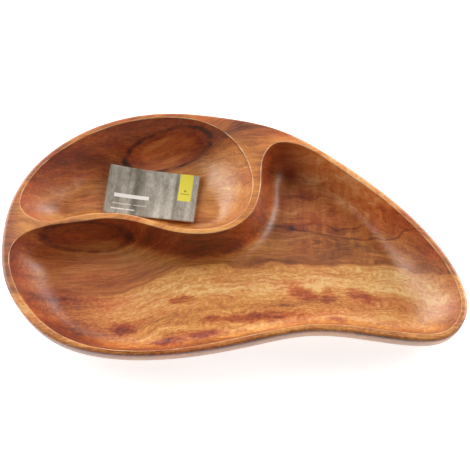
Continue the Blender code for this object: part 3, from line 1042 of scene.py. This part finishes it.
# %% What is printed on it
printed_card = bpy.data.materials.new("matt_printed_card")
printed_card.use_nodes = True
ink = printed_card.node_tree
ink.nodes.clear()
on_card = add(ink, "ShaderNodeUVMap", uv_map="print").outputs[0]
from_left = add(ink, "ShaderNodeSeparateXYZ", {0: on_card}).outputs[0]


def block(middle, size, softness=0.12):
    """1 inside a printed rectangle, 0 outside; middle and size are in mm on the card."""
    off = add(ink, "ShaderNodeVectorMath", {0: on_card, 1: (*middle, 0.0)}, operation="SUBTRACT")
    off = add(ink, "ShaderNodeVectorMath", {0: off.outputs[0]}, operation="ABSOLUTE")
    off = add(ink, "ShaderNodeVectorMath", {0: off.outputs[0], 1: (size[0] / 2, size[1] / 2, 1.0)},
              operation="SUBTRACT")
    x, y, _ = add(ink, "ShaderNodeSeparateXYZ", {0: off.outputs[0]}).outputs
    return eased(combined(x, y, operation="MAXIMUM"), softness, -softness)


boards = grain_noise(on_card, (7.0, 120.0, 1.0), detail=3.0, seed=2.6)
grit = grain_noise(on_card, (0.9, 4.0, 1.0), detail=3.0, seed=6.1)
weather = grain_noise(on_card, (9.0, 16.0, 1.0), detail=3.0, seed=8.3)
grey = combined(
    eased(from_left, 0.0, 94.0, 0.40, 0.64, "LINEAR"),
    eased(boards, 0.3, 0.7, -0.13, 0.13, "LINEAR"),
    eased(grit, 0.3, 0.7, -0.12, 0.12, "LINEAR"),
    eased(weather, 0.3, 0.7, -0.14, 0.14, "LINEAR"),
    combined(dark_line(from_left, 31.0, 7.0), -0.20, operation="MULTIPLY"),
    combined(dark_line(from_left, 71.5, 2.2), -0.16, operation="MULTIPLY"),
)
BOARD_GREYS = (
    (0.0, "544d42"), (0.3, "7d7566"), (0.55, "a39c8e"), (0.8, "c6c0b4"), (1.0, "dcd7cd"),
)
board_ramp = add(ink, "ShaderNodeValToRGB", {"Fac": grey})
set_stops(board_ramp.color_ramp, BOARD_GREYS)
knots = combined(block((79.0, 11.0), (9.0, 20.0), 2.0), eased(grit, 0.5, 0.62), 0.7,
                 operation="MULTIPLY")
TAB = ((80.8, 38.5), (13.6, 31.2))
# The tab's mark and the bars that stand for wording, as (middle, size, strength).
MARKS = (((80.8, 31.0), (9.5, 0.9), 0.8), ((80.8, 34.4), (2.2, 2.2), 0.8))
BARS = (
    ((26.5, 21.5), (36.0, 4.2), 0.85),
    ((17.5, 12.2), (20.0, 1.3), 0.42), ((36.5, 12.2), (13.0, 1.3), 0.34),
    ((14.0, 6.4), (14.0, 1.4), 0.70), ((27.0, 6.4), (9.0, 1.4), 0.70),
)
inks = [("4d473d", knots), ("e4d744", block(*TAB))]
for ink_colour, rectangles in (("77702a", MARKS), ("f0eee8", BARS)):
    for middle, size, strength in rectangles:
        inks.append((ink_colour, combined(block(middle, size), strength, operation="MULTIPLY")))
colour = board_ramp.outputs["Color"]
for ink_colour, amount in inks:
    colour = add(ink, "ShaderNodeMix", {0: amount, 6: colour, 7: linear(ink_colour)},
                 data_type="RGBA", clamp_factor=True).outputs[2]
# Off the card's own millimetres lies the plain stock of its back and its cut edge.
colour = add(ink, "ShaderNodeMix", {
    0: eased(from_left, -1.0, -0.01), 6: linear("d9d5ca"), 7: colour,
}, data_type="RGBA", clamp_factor=True).outputs[2]
print(len(inks), "inks over the boards")
tooth = add(ink, "ShaderNodeBump", {"Height": grit, "Strength": 0.15, "Distance": 0.0001})
paper_face = add(ink, "ShaderNodeBsdfPrincipled", {
    "Base Color": colour, "Roughness": 0.55, "Normal": tooth.outputs[0],
})
add(ink, "ShaderNodeOutputMaterial", {"Surface": paper_face.outputs[0]})
card_sheet.data.materials.append(printed_card)
print("printed card:", len(ink.nodes), "nodes")

# %% [markdown]
# ## The stage
# A pale floor, a pale room and large soft lights.  Two broad lights stand behind the tray, left and
# right, so that the walls that face the viewer fall into warm shade and the ends of the wells
# carry a soft sheen.

# %% Floor and backdrop
STAGE_SIDES = 96
STAGE_RADIUS = 5.0
WALL_HEIGHT = 0.9
# The floor is a hair under the base, so that the two faces don't share a place.
FLOOR_HEIGHT = -0.0002
FLOOR_GLOW = 0.80
BACKDROP_GLOW = 0.35


def staged(name, points, faces, glow):
    """A part of the stage in pale paper that glows a little, so that shadows on it stay light."""
    paper = bpy.data.materials.new(name + "_paper")
    paper.use_nodes = True
    inputs = paper.node_tree.nodes["Principled BSDF"].inputs
    inputs["Base Color"].default_value = linear("cdcdcb")
    inputs["Roughness"].default_value = 0.9
    inputs["Emission Color"].default_value = (1.0, 1.0, 1.0, 1.0)
    inputs["Emission Strength"].default_value = glow
    data = bpy.data.meshes.new(name)
    data.from_pydata(points, [], faces)
    data.materials.append(paper)
    thing = bpy.data.objects.new(name, data)
    bpy.context.scene.collection.objects.link(thing)


turns = [2.0 * math.pi * i / STAGE_SIDES for i in range(STAGE_SIDES)]
rims = [
    [(STAGE_RADIUS * math.cos(a), STAGE_RADIUS * math.sin(a), height) for a in turns]
    for height in (FLOOR_HEIGHT, WALL_HEIGHT)
]
following = [(i + 1) % STAGE_SIDES for i in range(STAGE_SIDES)]
staged("floor", rims[0], [list(range(STAGE_SIDES))], FLOOR_GLOW)
staged("backdrop", rims[0] + rims[1],
       [(j, i, i + STAGE_SIDES, j + STAGE_SIDES) for i, j in enumerate(following)], BACKDROP_GLOW)
print("stage of", STAGE_SIDES, "sides")


# %% Lights, as (name, place, aim, size, power in watts)
WINDOWS = (
    ("left_window", (-1.20, 0.62, 0.78), (0.0, 0.0, 0.25), (1.5, 1.4), 32.0),
    ("right_window", (1.20, 0.62, 0.78), (0.0, 0.0, 0.25), (1.5, 1.4), 33.0),
    ("back_window", (0.0, 1.5, 0.7), (0.0, 0.0, 0.0), (1.4, 0.4), 5.0),
)
ROOM_LIGHT = 0.05
for name, place, aim, size, power in WINDOWS:
    data = bpy.data.lights.new(name, "AREA")
    data.shape = "RECTANGLE"
    data.size, data.size_y = size
    data.energy = power
    light = bpy.data.objects.new(name, data)
    bpy.context.scene.collection.objects.link(light)
    light.location = place
    light.rotation_euler = (Vector(aim) - Vector(place)).to_track_quat("-Z", "Y").to_euler()
world = bpy.data.worlds.new("pale_room")
bpy.context.scene.world = world
world.use_nodes = True
world.node_tree.nodes["Background"].inputs["Color"].default_value = (1.0, 1.0, 1.0, 1.0)
world.node_tree.nodes["Background"].inputs["Strength"].default_value = ROOM_LIGHT
bpy.context.scene.view_settings.view_transform = "Standard"
print(len(WINDOWS), "windows")

# %% Camera, looking down on the tray
ELEVATION = math.radians(64.5)
DISTANCE = 1.35
AIM = Vector((0.00267, 0.00477, 0.025))
SENSOR_WIDTH = 36.0
LENS = 101.92
camera_data = bpy.data.cameras.new("camera")
camera_data.sensor_width = SENSOR_WIDTH
camera_data.lens = LENS
camera = bpy.data.objects.new("camera", camera_data)
bpy.context.scene.collection.objects.link(camera)
back = Vector((0.0, -math.cos(ELEVATION), math.sin(ELEVATION)))
camera.location = AIM + back * DISTANCE
camera.rotation_euler = (math.pi / 2.0 - ELEVATION, 0.0, 0.0)
bpy.context.scene.camera = camera
print("camera", DISTANCE, "m away, lens", LENS, "mm")
